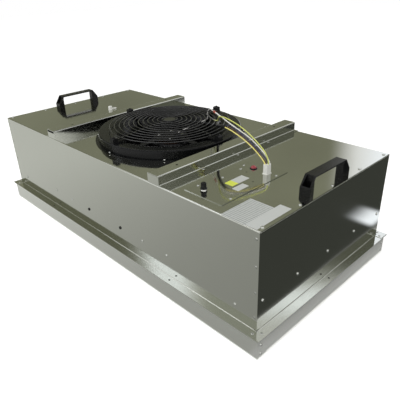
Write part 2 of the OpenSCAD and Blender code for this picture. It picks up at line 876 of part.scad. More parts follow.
// The rotor cup hangs round the stator and carries the impeller under its base
module motor_rotor() {
    inner = stator_r + motor_gap;
    color("#2a2b2c") difference() {
        translate([fan_x, 0, 0]) rotate_extrude() polygon([
            [shaft_d/2, rotor_z - rotor_base], [rotor_r, rotor_z - rotor_base],
            [rotor_r + 4, rotor_z - rotor_base + 4], [rotor_r + 4, rotor_z],
            [rotor_r, rotor_z + 4], [rotor_r, stator_z - 4], [rotor_r - 3, stator_z - 1],
            [inner, stator_z - 1], [inner, rotor_z], [shaft_d/2, rotor_z]]);
        at_hub_screws() drill(screw_d);
    }
}

module motor_shaft() {
    color("#c8c9c6") translate([fan_x, 0, rotor_z - rotor_base])
        cylinder(d = shaft_d, h = shaft_end_z - rotor_z + rotor_base);
}

// The stator hangs from the spider's hub on its flange
module motor_stator() {
    room = shaft_d/2 + 2;
    low = stator_z - stator_h;
    seat = bearing_d/2;
    color("#8b5a3a") difference() {
        translate([fan_x, 0, 0]) rotate_extrude() polygon([
            [0, hub_z], [stator_r, hub_z], [stator_r, low],
            [seat, low], [seat, low + bearing_w], [room, low + bearing_w],
            [room, stator_z - 9 - bearing_w], [seat, stator_z - 9 - bearing_w],
            [seat, stator_z - 9], [room, stator_z - 9], [room, stator_z - 2], [0, stator_z - 2]]);
        translate([fan_x, 0, low + 5]) for (a = [0:30:330]) rotate(a)
            translate([stator_r - 4, -1.5, 0]) cube([6, 3, stator_h - 12]);
        at_motor_screws() cylinder(d = 5, h = 2*(spider_t + 6), center = true);
    }
}

module motor_bearings() {
    bore = shaft_d/2 + bearing_fit;
    low = stator_z - stator_h;
    color("#9fa19e") for (z = [low, stator_z - 9 - bearing_w])
        translate([fan_x, 0, z]) rotate_extrude() polygon([
            [bore, 0], [bearing_d/2, 0], [bearing_d/2, bearing_w], [bore, bearing_w]]);
}

// ---------------------------------------------------------------- air guiding sheets

module baffle_tray() {
    half = body_w/2 - sheet_t;
    z = side_row_z - 11;
    fold = bend_r + sheet_t;
    color("#9da098") difference() {
        along_x(2*(side_out + tray_over)) {
            translate([-half + fold, z]) square([2*(half - fold), sheet_t]);
            for (s = [0, 1]) mirror([s, 0]) {
                translate([half - fold, z + fold]) rotate(-90) bend_quarter(bend_r, sheet_t);
                translate([half - sheet_t, z + fold]) square([sheet_t, lip_w]);
            }
        }
        at_sides() drill(screw_d);
        at_plugs() drill(screw_d);
        for (sx = [-1, 1], y = tray_slot_row)
            translate([sx*(side_out + tray_slot_in), y, z]) cube(tray_slot, center = true);
    }
}

// A deflector hangs on the end panel, with a cheek on each side of the housing
module air_deflector() {
    half = body_w/2 - sheet_t;
    face = body_l/2 - sheet_t;
    slope_x = cheek_x - 22;
    slope_z = cheek_z - 12;
    top = end_row_z + 10;
    knee = end_row_z - 10;
    color("#a5a8a0") difference() {
        union() {
            along_y(2*half) polygon([[face, top], [face, knee], [slope_x, slope_z],
                [slope_x, slope_z + 1.2*sheet_t], [face - sheet_t, knee + 0.6],
                [face - sheet_t, top]]);
            for (s = [-1, 1]) translate([0, s*(half - sheet_t/2), 0]) along_y(sheet_t)
                polygon([[slope_x, slope_z + 1], [face - 1, knee], [face - 1, slope_z - 8],
                    [slope_x, slope_z - 8]]);
        }
        for (s = [-1, 1])
            translate([face - lip_w - 1, s*half - lip_gap, slope_z - 20])
                cube([2*lip_w, 2*lip_gap, body_h]);
    }
}

module air_deflectors() {
    difference() {
        for (s = [0, 1]) mirror([s, 0, 0]) air_deflector();
        at_sides() drill(screw_d);
        at_ends() drill(screw_d);
    }
}

// ---------------------------------------------------------------- filter

// Section of a frame bar: depth inwards from the outer face, and height
module bar_outline() {
    square([bar_t, filter_h]);
    square([bar_lip, bar_t]);
    translate([0, filter_h - bar_t]) square([bar_lip, bar_t]);
}

module port_outline() {
    for (z = [port_low, port_low + port_gap]) difference() {
        union() {
            translate([port_in, z]) circle(4.4);
            translate([0.2, z - 1]) square([port_in - 2, 2]);
        }
        translate([port_in, z]) circle(screw_d/2);
        translate([port_in, z - 0.8]) square([8, 1.6]);
    }
}

module filter_bars_long() {
    color("#c9ccc6") for (s = [0, 1]) mirror([0, s, 0])
        translate([0, filter_w/2, 0]) mirror([0, 1, 0]) along_x(filter_l - 2*bar_t) {
            bar_outline();
            port_outline();
        }
}

module filter_bars_short() {
    lip_l = filter_w - 2*bar_lip - 0.6;
    color("#d2d5cf") difference() {
        for (s = [0, 1]) mirror([s, 0, 0]) translate([filter_l/2, 0, 0]) {
            translate([-bar_t, -filter_w/2, 0]) cube([bar_t, filter_w, filter_h]);
            for (z = [0, filter_h - bar_t])
                translate([-bar_lip, -lip_l/2, z]) cube([bar_lip, lip_l, bar_t]);
        }
        at_bar_screws() drill(screw_d);
    }
}

module at_bar_screws() {
    for (sx = [-1, 1], sy = [-1, 1], z = [port_low, port_low + port_gap])
        translate([sx*filter_l/2, sy*(filter_w/2 - port_in), z])
            rotate([0, sx*90, 0]) children();
}

module bar_screws() {
    color("#8a8c86") at_bar_screws() screw(screw_d, head_d, head_h, bar_t + 14);
}

module filter_gasket() {
    out_l = filter_l - 6;
    out_w = filter_w - 6;
    color("#2c2d2b") translate([0, 0, filter_h]) linear_extrude(gasket_t) difference() {
        square([out_l, out_w], center = true);
        square([out_l - 2*gasket_w, out_w - 2*gasket_w], center = true);
    }
}

module face_grid(z) {
    nx = round(pack_l/grid_pitch);
    ny = round(pack_w/grid_pitch);
    cx = (pack_l - grid_bar)/nx;
    cy = (pack_w - grid_bar)/ny;
    translate([0, 0, z]) linear_extrude(grid_t) difference() {
        square([pack_l, pack_w], center = true);
        for (i = [0:nx - 1], j = [0:ny - 1])
            translate([-pack_l/2 + grid_bar + i*cx, -pack_w/2 + grid_bar + j*cy])
                square([cx - grid_bar, cy - grid_bar]);
    }
}

module outlet_grid() {
    color("#e2e3df") face_grid(bar_t);
}

module inlet_grid() {
    color("#e2e3df") face_grid(filter_h - bar_t - grid_t);
}

// The pleated medium, folded back and forth between the two grids
module filter_medium() {
    low = bar_t + grid_t;
    high = filter_h - bar_t - grid_t;
    n = floor(pack_l/pleat_pitch);
    p = pack_l/n;
    t = pleat_t/cos(atan2(high - low, p/2));
    top = [for (i = [0:2*n]) [-pack_l/2 + i*p/2, i%2 == 0 ? high : low + t]];
    bottom = [for (i = [2*n:-1:0]) [-pack_l/2 + i*p/2, i%2 == 0 ? high - t : low]];
    color("#f1f1ec") along_y(pack_w) polygon(concat(top, bottom));
}

// ---------------------------------------------------------------- controls

module control_plate() {
    color("#b2b4a8") difference() {
        translate([panel_x - panel_w/2, panel_y - panel_l/2, top_z])
            cube([panel_w, panel_l, panel_t]);
        for (p = plate_screws) on_plate(p) drill(3);
        for (p = plate_holes) on_plate(p) drill(3.5);
        on_plate(knob_at) drill(bush_d);
        on_plate(lamp_at) drill(12);
        on_plate(plug_at) cube([plug_w, plug_l, 12], center = true);
    }
}

module panel_screws() {
    color("#cfd1ca") for (p = plate_screws) on_plate(p)
        screw(3, 6, 1.8, panel_t + 2*sheet_t);
}

// The box under the plate hangs in the cut-out of the cover
module control_box() {
    l = panel_l - 2*box_in;
    w = panel_w - 2*box_in;
    color("#a9aca3") translate([panel_x, panel_y, 0]) difference() {
        translate([-w/2, -l/2, top_z - box_d]) cube([w, l, box_d]);
        translate([-w/2 + box_t, -l/2 + box_t, top_z - box_d + box_t])
            cube([w - 2*box_t, l - 2*box_t, box_d]);
        translate([0, l/2, top_z - box_d/2]) rotate([90, 0, 0]) drill(12);
    }
}

// The board stands on four posts in the box
module driver_board() {
    l = panel_l - 2*(box_in + box_t + board_gap);
    w = panel_w - 2*(box_in + box_t + board_gap);
    post_h = 6;
    low = post_h + 1;
    color("#2f5b3c") translate([panel_x, panel_y, top_z - box_d + box_t]) {
        for (sx = [-1, 1], sy = [-1, 1])
            translate([sx*(w/2 - 5), sy*(l/2 - 7), 0]) cylinder(d = 6, h = post_h + 0.5);
        translate([-w/2, -l/2, post_h]) cube([w, l, 1.6]);
        translate([-w/2 + 8, -l/2 + 17, low]) cube([30, 24, 22]);
        translate([w/2 - 30, -l/2 + 27, low]) cylinder(d = 22, h = 26);
        translate([-w/2 + 8, l/2 - 47, low]) cube([60, 14, 12]);
        for (i = [0:3]) translate([w/2 - 18, -l/2 + 62 + i*14, low]) cylinder(d = 9, h = 14);
    }
}

// The knob turns on the speed control's shaft
module speed_knob() {
    base = nut_h + knob_gap;
    grip_d = knob_d*0.72;
    grip_h = knob_h - 3;
    color("#141414") on_plate(knob_at) translate([0, 0, base]) difference() {
        union() {
            rotate_extrude() polygon([[0, 0], [knob_d/2, 0], [knob_d/2, 1.8],
                [grip_d/2 + 0.8, 3], [grip_d/2, knob_h - 1], [grip_d/2 - 1, knob_h], [0, knob_h]]);
            for (i = [0:11]) rotate(i*30)
                translate([grip_d/2 - 0.6, -0.5, 2.6]) cube([1.2, 1, grip_h - 1]);
        }
        translate([0, 0, -1]) cylinder(d = pot_shaft_d, h = knob_h - 3);
        translate([0, -0.4, knob_h - 0.6]) cube([knob_d, 0.8, 1]);
    }
}

module pot_shaft() {
    color("#c8c9c6") on_plate(knob_at) translate([0, 0, -10])
        cylinder(d = pot_shaft_d, h = 10 + nut_h + knob_gap + knob_h - 4);
}

module speed_pot() {
    color("#4a4a46") on_plate(knob_at) difference() {
        union() {
            translate([0, 0, -panel_t - 11]) cylinder(d = 17, h = 11);
            translate([0, 0, -panel_t - 1]) cylinder(d = bush_d, h = panel_t + 1 + nut_h);
        }
        translate([0, 0, -10.2]) cylinder(d = pot_shaft_d + 0.1, h = 20);
    }
}

module pot_nut() {
    color("#dcdcd8") on_plate(knob_at) difference() {
        union() {
            cylinder(d = 14.5, h = 0.8);
            cylinder(d = 12.5, h = nut_h, $fn = 6);
        }
        cylinder(d = bush_d, h = 20, center = true);
    }
}

module lamp_bezel() {
    color("#161616") on_plate(lamp_at) difference() {
        union() {
            rotate_extrude() polygon([[0, 0], [lamp_d/2, 0], [lamp_d/2, 1],
                [lamp_d/2 - 1, bezel_h], [0, bezel_h]]);
            translate([0, 0, -panel_t - 14]) cylinder(d = 12, h = panel_t + 15);
        }
        translate([0, 0, -8]) cylinder(d = lamp_stem_d, h = 20);
    }
}

module lamp_lens() {
    lens_h = 5;
    r = (lens_d*lens_d/4 + lens_h*lens_h)/(2*lens_h);
    color("#9a2f33") on_plate(lamp_at) {
        translate([0, 0, -8]) cylinder(d = lamp_stem_d, h = 9 + bezel_h);
        translate([0, 0, bezel_h]) intersection() {
            translate([0, 0, lens_h - r]) sphere(r);
            cylinder(d = lens_d + 1, h = 2*lens_h);
        }
    }
}

module motor_socket() {
    color("#e8e8e2") on_plate(plug_at) difference() {
        union() {
            translate([-plug_w/2, -plug_l/2, -12]) cube([plug_w, plug_l, 12 + socket_t]);
            translate([-plug_w/2 - 1, -plug_l/2 - 1, 0])
                cube([plug_w + 2, plug_l + 2, socket_t]);
        }
        for (i = [-1, 1], j = [-1, 0, 1])
            translate([i*3, j*5, socket_t]) cube([2, 2, 14], center = true);
    }
}

// The six-way plug stands in the socket, with its latch on the inner side
module motor_plug() {
    h = plug_h;
    color("#f2f2ec") translate([panel_x + plug_at[0], panel_y + plug_at[1], plug_base]) {
        difference() {
            linear_extrude(h) polygon([
                [-plug_w/2, -plug_l/2 + 1], [-plug_w/2 + 1, -plug_l/2],
                [plug_w/2 - 1, -plug_l/2], [plug_w/2, -plug_l/2 + 1],
                [plug_w/2, plug_l/2 - 1], [plug_w/2 - 1, plug_l/2],
                [-plug_w/2 + 1, plug_l/2], [-plug_w/2, plug_l/2 - 1]]);
            for (i = [-1, 1], j = [-1, 0, 1])
                translate([i*3, j*5, h]) cylinder(d = wire_d + 0.6, h = 6, center = true);
            for (s = [-1, 1]) translate([-plug_w, s*plug_l/2 - 0.4, h*0.55])
                cube([2*plug_w, 0.8, 1]);
        }
        translate([-plug_w/2 - 2.4, -3, 3]) cube([1.4, 6, h - 9]);
        translate([-plug_w/2 - 1.5, -3, h*0.6]) cube([2, 6, 2]);
    }
}

// A sampling port with its nipple through the cover, and the cap tied to it
module test_port() {
    color("#e6e6e0") translate([port_at[0], port_at[1], top_z]) difference() {
        union() {
            cylinder(d = 16, h = 2, $fn = 6);
            cylinder(d = 8, h = 8);
            translate([0, 0, -sheet_t - 8]) cylinder(d = 8, h = 9 + sheet_t);
            translate([0, 0, -sheet_t - 3]) cylinder(d = 14, h = 3, $fn = 6);
        }
        cylinder(d = 5, h = 40, center = true);
    }
}

module port_cap() {
    color("#f4f4f0") translate([port_at[0], port_at[1], top_z]) {
        translate([0, 0, 2]) rotate_extrude() polygon([[4, 0], [7, 0], [7, 9.4], [6.2, 10.4],
            [0, 10.4], [0, 6], [4, 6]]);
        translate([-1.5, 6, 2]) cube([3, 5, 1.4]);
        translate([1, 16, 2]) rotate_extrude() translate([5, 0]) square([3.5, 1.4]);
    }
}

// ---------------------------------------------------------------- motor leads

module motor_sleeve() {
    color("#1d1e22") tube(sleeve_route, sleeve_d, 8);
}

module wire_splice() {
    at = white_route[splice_at];
    d = heading(white_route, splice_at);
    color("#b3402e") translate([at[0], at[1], at[2] + top_z])
        rotate([0, acos(d[2]), atan2(d[1], d[0])]) cylinder(d = 5.4, h = 16, center = true);
}

module wire_white() {
    color("#f0efe9") tube(white_route, wire_d, 8);
}

module wire_green() {
    color("#c9d65a") tube(green_route, wire_d, 8);
}

module wire_navy() {
    color("#24263a") tube(navy_route, wire_d, 8);
}

module wire_yellow() {
    color("#e2d45a") tube(yellow_route, wire_d, 8);
}

module wire_brown() {
    color("#4a3426") tube(brown_route, wire_d, 8);
}

// ---------------------------------------------------------------- nodes

top_cover();
end_panels();
corner_plates();
corner_rivets();
seam_rivets();
cover_screws();
side_screws();
side_plugs();
rails();
rail_rivets();
handle_right();
handle_left();
handle_screws();
inlet_ring();
ring_screws();
motor_spider();
fan_guard();
guard_clips();
clip_screws();
impeller();
impeller_screws();
motor_rotor();
motor_shaft();
motor_stator();
motor_bearings();
motor_screws();
lead_grommet();
baffle_tray();
air_deflectors();
filter_bars_long();
filter_bars_short();
bar_screws();
filter_gasket();
outlet_grid();
inlet_grid();
filter_medium();
control_plate();
panel_screws();
control_box();
driver_board();
speed_knob();
pot_shaft();
speed_pot();
pot_nut();
lamp_bezel();
lamp_lens();
motor_socket();
motor_plug();
test_port();
port_cap();
motor_sleeve();
wire_splice();
wire_white();
wire_green();
wire_navy();
wire_yellow();
wire_brown();
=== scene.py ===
"""Looks for a ceiling fan filter unit: mirror steel housing, moulded inlet and handles,
aluminium filter frame, motor leads and labels. Metres, in the unit's own frame."""

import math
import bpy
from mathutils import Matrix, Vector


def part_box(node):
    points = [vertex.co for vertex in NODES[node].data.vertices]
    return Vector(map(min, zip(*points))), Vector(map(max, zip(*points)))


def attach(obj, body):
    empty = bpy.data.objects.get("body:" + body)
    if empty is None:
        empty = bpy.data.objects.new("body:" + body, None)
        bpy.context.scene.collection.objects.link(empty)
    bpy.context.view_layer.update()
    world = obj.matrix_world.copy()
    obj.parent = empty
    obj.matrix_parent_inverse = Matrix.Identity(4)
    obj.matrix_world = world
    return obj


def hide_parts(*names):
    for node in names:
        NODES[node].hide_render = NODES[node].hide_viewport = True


bl_info = {
    "name": "Fan filter unit looks",
    "version": (1, 0, 0),
    "blender": (4, 5, 0),
    "location": "View3D > Sidebar > Filter unit",
    "description": "Materials, leads, labels and stage for a fan filter unit",
    "category": "Add Mesh",
}

import bmesh
import bpy
from bpy.props import (
    BoolProperty,
    FloatProperty,
    FloatVectorProperty,
    IntProperty,
    PointerProperty,
)
from mathutils import Matrix, Vector

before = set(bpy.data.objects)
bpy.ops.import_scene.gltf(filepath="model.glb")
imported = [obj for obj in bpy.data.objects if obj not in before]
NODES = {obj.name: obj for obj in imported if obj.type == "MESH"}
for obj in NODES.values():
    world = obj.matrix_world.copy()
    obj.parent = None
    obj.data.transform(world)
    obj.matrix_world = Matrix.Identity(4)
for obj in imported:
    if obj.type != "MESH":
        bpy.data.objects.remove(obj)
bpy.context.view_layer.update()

TOP_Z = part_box("top_cover")[1].z
PLATE_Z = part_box("control_plate")[1].z
UNIT = "unit"
MM = 0.001
SMOOTH_ANGLE = math.radians(35)


# ---------------------------------------------------------------- sizes and colours


def colour(name, text, value):
    return FloatVectorProperty(
        name=name, description=text, default=value, size=3, subtype="COLOR", min=0, max=1
    )


def metres(name, text, value):
    return FloatProperty(name=name, description=text, default=value, unit="LENGTH", min=0)


def share(name, text, value):
    return FloatProperty(name=name, description=text, default=value, min=0, max=1)


class SheetSettings(bpy.types.PropertyGroup):
    """Finish of the rolled and folded sheets"""

    mirror_tint: colour("Mirror tint", "Colour of the bright rolled steel", (0.62, 0.63, 0.585))
    mirror_rough: share("Mirror roughness", "Roughness of the bright rolled steel", 0.07)
    wave_height: metres("Wave height", "Depth of the sheet's slow waves", 0.0006)
    frame_tint: colour("Frame tint", "Colour of the satin aluminium bars", (0.80, 0.81, 0.78))
    frame_rough: share("Frame roughness", "Roughness of the satin aluminium bars", 0.34)
    zinc_tint: colour("Zinc tint", "Colour of the hidden zinc coated sheets", (0.55, 0.57, 0.56))


class MouldingSettings(bpy.types.PropertyGroup):
    """Finish of the black mouldings and coated wire"""

    black_tint: colour("Black tint", "Colour of the black mouldings", (0.004, 0.0042, 0.0046))
    handle_rough: share("Handle roughness", "Roughness of the handles", 0.24)
    ring_rough: share("Ring roughness", "Roughness of the inlet ring", 0.2)
    ring_specular: share("Ring specular", "Specular level of the inlet ring", 0.2)
    guard_rough: share("Guard roughness", "Roughness of the guard's coating", 0.18)
    guard_specular: share("Guard specular", "Specular level of the guard's glossy coating", 0.75)
    black_specular: share("Black specular", "Specular level of the black mouldings", 0.3)
    edge_round: metres("Edge rounding", "Radius along the handles' edges", 0.0012)


class LeadSettings(bpy.types.PropertyGroup):
    """Sizes and colours of the motor leads"""

    wire_d: metres("Wire diameter", "Outer diameter of one insulated wire", 0.003)
    sleeve_d: metres("Sleeve diameter", "Outer diameter of the black sleeve", 0.008)
    # Painted shade: the earth wire is coloured black up to this X, standing in for the shade under
    # the guard
    painted_shade_to: metres("Black up to", "Where the earth wire's black inner run ends, along X", 0.168)
    steps: IntProperty(
        name="Steps", description="Points between two route points", default=8, min=2, max=20
    )
    white: colour("White", "Insulation of the white wire", (0.84, 0.83, 0.78))
    green: colour("Yellow green", "Insulation of the earth wire", (0.62, 0.66, 0.16))
    navy: colour("Navy", "Insulation of the dark blue wire", (0.022, 0.024, 0.075))
    yellow: colour("Yellow", "Insulation of the yellow wire", (0.80, 0.72, 0.22))
    brown: colour("Brown", "Insulation of the brown wire", (0.085, 0.045, 0.022))


class LabelSettings(bpy.types.PropertyGroup):
    """Plain labels on the top"""

    paper: colour("Paper", "Colour of the white labels", (0.62, 0.64, 0.61))
    field: colour("Field", "Colour of the yellow label's field", (0.78, 0.86, 0.10))
    thickness: metres("Thickness", "Thickness of a label", 0.0002)
    ruled: BoolProperty(
        name="Ruled", description="Draw faint ruled lines on the big label", default=True
    )
    rule_pitch: metres("Rule pitch", "Distance from one ruled line to the next", 0.006)
    corner: metres("Corner", "Radius of a label's corners", 0.0015)


class StageSettings(bpy.types.PropertyGroup):
    """Floor, lamps, grey cards and camera"""

    floor_tint: colour("Floor", "Colour of the floor", (0.90, 0.90, 0.89))
    key_power: FloatProperty(
        name="Key power", description="Power of the key lamp", default=36, min=0, unit="POWER"
    )
    top_power: FloatProperty(
        name="Top power", description="Power of the overhead softbox", default=10, min=0,
        unit="POWER",
    )
    sky: FloatProperty(
        name="Sky", description="Strength of the soft light from all round", default=0.55, min=0
    )
    wall_tint: colour("Wall card", "The grey card that the top mirrors", (0.235, 0.24, 0.172))
    front_tint: colour("Front card", "The card that the long flange mirrors", (0.50, 0.51, 0.45))
    shade_tint: colour(
        "Right card", "The card that the rails and the end flange mirror", (0.17, 0.175, 0.14)
    )
    ceiling_tint: colour("Ceiling card", "The card over the unit", (0.06, 0.06, 0.06))
    glint_tint: colour("Glint", "The bright streaks, and the patch by the end", (0.85, 0.88, 0.95))
    foot_tint: colour("Foot mat", "The mat that the short filter bar mirrors", (0.42, 0.42, 0.41))
    left_tint: colour("Side mat, left", "The mat that the long side mirrors", (0.66, 0.67, 0.63))
    right_tint: colour("Side mat, right", "The same at the control end", (0.34, 0.345, 0.32))
    dark_tint: colour("End mat", "The mat that the end mirrors", (0.055, 0.058, 0.05))
    lens: FloatProperty(
        name="Lens", description="Focal length in millimetres on a 36 mm sensor",
        default=40.06, min=10,
    )



# ---------------------------------------------------------------- shader groups


def group(name, inputs, outputs):
    """A new shader node group with float, colour or vector sockets"""
    tree = bpy.data.node_groups.new(name, "ShaderNodeTree")
    for label, kind, value in inputs:
        sock = tree.interface.new_socket(
            name=label, in_out="INPUT", socket_type="NodeSocket" + kind
        )
        if value is not None:
            sock.default_value = value
    for label, kind in outputs:
        tree.interface.new_socket(name=label, in_out="OUTPUT", socket_type="NodeSocket" + kind)
    return tree, tree.nodes.new("NodeGroupInput"), tree.nodes.new("NodeGroupOutput")


def node(tree, kind, **values):
    made = tree.nodes.new("ShaderNode" + kind)
    for key, value in values.items():
        if key.startswith("_"):
            made.inputs[int(key[1:])].default_value = value
        else:
            setattr(made, key, value)
    return made


def math_node(tree, op, a, b=None, clamp=False):
    made = node(tree, "Math", operation=op, use_clamp=clamp)
    for i, v in enumerate((a, b)):
        if v is None:
            continue
        if hasattr(v, "is_output"):
            tree.links.new(v, made.inputs[i])
        else:
            made.inputs[i].default_value = v
    return made.outputs[0]


def noise(tree, vector, scale, detail=2.0, rough=0.5):
    made = node(tree, "TexNoise")
    made.inputs["Detail"].default_value = detail
    made.inputs["Roughness"].default_value = rough
    tree.links.new(vector, made.inputs["Vector"])
    if hasattr(scale, "is_output"):
        tree.links.new(scale, made.inputs["Scale"])
    else:
        made.inputs["Scale"].default_value = scale
    return made.outputs["Fac"]


def object_place(tree, stretch=None):
    """Object coordinates, stretched along the grain where a socket is given"""
    place = node(tree, "TexCoord").outputs["Object"]
    if stretch is None:
        return place
    made = node(tree, "VectorMath", operation="MULTIPLY")
    tree.links.new(place, made.inputs[0])
    tree.links.new(stretch, made.inputs[1])
    return made.outputs[0]


def mix_colour(tree, factor, a, b):
    made = node(tree, "Mix", data_type="RGBA")
    for i, v in ((0, factor), (6, a), (7, b)):
        if hasattr(v, "is_output"):
            tree.links.new(v, made.inputs[i])
        else:
            made.inputs[i].default_value = v
    return made.outputs[2]


def rolled_sheet_group():
    """Slow waves of a thin rolled sheet, fine rolling lines and wiped smudges"""
    tree, gin, gout = group(
        "rolled_sheet",
        [("Tint", "Color", (0.6, 0.6, 0.6, 1)), ("Roughness", "Float", 0.08),
         ("Waves", "Float", 3.0), ("Smudge", "Float", 0.05),
         ("Grain", "Vector", (4.0, 180.0, 180.0))],
        [("Color", "Color"), ("Roughness", "Float"), ("Height", "Float")],
    )
    line_depth, line_rough = 0.006, 0.03
    wipe_floor, wipe_share, wipe_value = 0.42, 0.5, 0.93
    place = object_place(tree)
    slow = noise(tree, place, gin.outputs["Waves"], detail=1.0, rough=0.35)
    lines = noise(tree, object_place(tree, gin.outputs["Grain"]), 3.0, detail=3.0, rough=0.6)
    wiped = noise(tree, place, 9.0, detail=4.0, rough=0.62)
    height = math_node(tree, "ADD", slow, math_node(tree, "MULTIPLY", lines, line_depth))
    smudge = math_node(tree, "MULTIPLY", math_node(tree, "SUBTRACT", wiped, wipe_floor, True),
                       gin.outputs["Smudge"])
    rough = math_node(tree, "ADD", math_node(tree, "ADD", gin.outputs["Roughness"], smudge),
                      math_node(tree, "MULTIPLY", lines, line_rough))
    darker = node(tree, "HueSaturation")
    darker.inputs["Value"].default_value = wipe_value
    tree.links.new(gin.outputs["Tint"], darker.inputs["Color"])
    shade = mix_colour(tree, math_node(tree, "MULTIPLY", wiped, wipe_share), gin.outputs["Tint"],
                       darker.outputs[0])
    tree.links.new(shade, gout.inputs["Color"])
    tree.links.new(rough, gout.inputs["Roughness"])
    tree.links.new(height, gout.inputs["Height"])
    return tree


def moulded_group():
    """Fine pebble grain, flow mottling and handling shine of a moulding or a coat of paint"""
    tree, gin, gout = group(
        "moulded",
        [("Tint", "Color", (0.02, 0.02, 0.02, 1)), ("Roughness", "Float", 0.35),
         ("Grain", "Float", 900.0), ("Mottle", "Float", 25.0)],
        [("Color", "Color"), ("Roughness", "Float"), ("Height", "Float")],
    )
    flow_middle, flow_rough, flow_value = 0.5, 0.18, 1.35
    place = object_place(tree)
    grain = noise(tree, place, gin.outputs["Grain"], detail=2.0, rough=0.5)
    flow = noise(tree, place, gin.outputs["Mottle"], detail=3.0, rough=0.55)
    lighter = node(tree, "HueSaturation")
    lighter.inputs["Value"].default_value = flow_value
    tree.links.new(gin.outputs["Tint"], lighter.inputs["Color"])
    shade = mix_colour(tree, flow, gin.outputs["Tint"], lighter.outputs[0])
    tree.links.new(shade, gout.inputs["Color"])
    off_middle = math_node(tree, "SUBTRACT", flow, flow_middle)
    rough = math_node(tree, "ADD", gin.outputs["Roughness"],
                      math_node(tree, "MULTIPLY", off_middle, flow_rough))
    tree.links.new(rough, gout.inputs["Roughness"])
    tree.links.new(grain, gout.inputs["Height"])
    return tree


def fibre_group():
    """Short crossing fibres of paper, foam or board"""
    tree, gin, gout = group(
        "fibres",
        [("Light", "Color", (0.9, 0.9, 0.87, 1)), ("Dark", "Color", (0.8, 0.8, 0.76, 1)),
         ("Size", "Float", 600.0)],
        [("Color", "Color"), ("Height", "Float")],
    )
    broad_floor = 0.4
    place = object_place(tree)
    fine = noise(tree, place, gin.outputs["Size"], detail=4.0, rough=0.7)
    broad = noise(tree, place, 14.0, detail=2.0, rough=0.5)
    factor = math_node(tree, "MULTIPLY", fine, math_node(tree, "ADD", broad, broad_floor))
    shade = mix_colour(tree, factor, gin.outputs["Light"], gin.outputs["Dark"])
    tree.links.new(shade, gout.inputs["Color"])
    tree.links.new(fine, gout.inputs["Height"])
    return tree


GROUPS = {}


def shared(name):
    """The shared group of that name, built once"""
    makers = {"rolled_sheet": rolled_sheet_group, "moulded": moulded_group, "fibres": fibre_group}
    if name not in GROUPS:
        GROUPS[name] = makers[name]()
    return GROUPS[name]


def surface(name, base, values, depth, roughness=None, **plain):
    """A material: a shared group's colour, roughness and height into one Principled surface"""
    mat = bpy.data.materials.new(name)
    mat.use_nodes = True
    tree = mat.node_tree
    shader = tree.nodes["Principled BSDF"]
    made = tree.nodes.new("ShaderNodeGroup")
    made.node_tree = shared(base)
    for key, value in values.items():
        made.inputs[key].default_value = value
    tree.links.new(made.outputs["Color"], shader.inputs["Base Color"])
    if roughness is None:
        tree.links.new(made.outputs["Roughness"], shader.inputs["Roughness"])
    else:
        shader.inputs["Roughness"].default_value = roughness
    bump = node(tree, "Bump")
    bump.inputs["Distance"].default_value = depth
    tree.links.new(made.outputs["Height"], bump.inputs["Height"])
    tree.links.new(bump.outputs["Normal"], shader.inputs["Normal"])
    for key, value in plain.items():
        shader.inputs[key.replace("_", " ")].default_value = value
    return mat


def rgba(value):
    return (*value[:3], 1.0)


def dress(material, *names):
    """Gives CAD nodes their material"""
    for name in names:
        mesh = NODES[name].data
        mesh.materials.clear()
        mesh.materials.append(material)


def mirror_steel(name, tint=None, grain=(4.0, 180.0, 180.0), rough=None, waves=2.6):
    s = bpy.context.scene.ffu_sheet
    return surface(
        name, "rolled_sheet",
        {"Tint": rgba(tint or s.mirror_tint),
         "Roughness": s.mirror_rough if rough is None else rough,
         "Waves": waves, "Smudge": 0.07, "Grain": grain},
        s.wave_height, Metallic=1.0,
    )


def black_moulding(name, rough, grain, depth, tint=None, specular=None):
    s = bpy.context.scene.ffu_moulding
    return surface(
        name, "moulded",
        {"Tint": rgba(tint or s.black_tint), "Roughness": rough, "Grain": grain, "Mottle": 25.0},
        depth,
        Specular_IOR_Level=s.black_specular if specular is None else specular,
    )


def coloured_plastic(name, tint, rough, coat):
    return surface(
        name, "moulded", {"Tint": rgba(tint), "Roughness": rough, "Grain": 700.0, "Mottle": 60.0},
        0.000015, Coat_Weight=coat,
    )


def paint_shade_on_inner_run(mat, reach):
    """Paints shade on a wire: colours it black from its inner end to a place along X, in the
    unit's frame, standing in for the shade under the guard
    """
    # painted shade colour for the wire's run under the guard
    black = (0.012, 0.012, 0.013)
    tree = mat.node_tree
    shader = tree.nodes["Principled BSDF"]
    base = shader.inputs["Base Color"].links[0].from_socket
    split = node(tree, "SeparateXYZ")
    tree.links.new(object_place(tree), split.inputs[0])
    in_painted_shade = math_node(tree, "LESS_THAN", split.outputs["X"], reach)
    tree.links.new(mix_colour(tree, in_painted_shade, base, rgba(black)), shader.inputs["Base Color"])


# ---------------------------------------------------------------- meshes


def add_piece(name, mesh, material, body):
    """Links a mesh as a piece of the object that rides on a body"""
    mesh.materials.append(material)
    for p in mesh.polygons:
        p.use_smooth = True
    mesh.set_sharp_from_angle(angle=SMOOTH_ANGLE)
    obj = bpy.data.objects.new(name, mesh)
    bpy.context.scene.collection.objects.link(obj)
    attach(obj, body)


def from_bmesh(name, bm):
    bmesh.ops.recalc_face_normals(bm, faces=bm.faces)
    mesh = bpy.data.meshes.new(name)
    bm.to_mesh(mesh)
    bm.free()
    return mesh


def rounded_rectangle(width, depth, radius, steps=4):
    """Corner points of a rounded rectangle round the origin, anticlockwise"""
    points = []
    for quarter, (sx, sy) in enumerate(((1, 1), (-1, 1), (-1, -1), (1, -1))):
        for i in range(steps + 1):
            a = math.pi / 2 * (quarter + i / steps)
            points.append((sx * (width / 2 - radius) + radius * math.cos(a),
                           sy * (depth / 2 - radius) + radius * math.sin(a)))
    return points


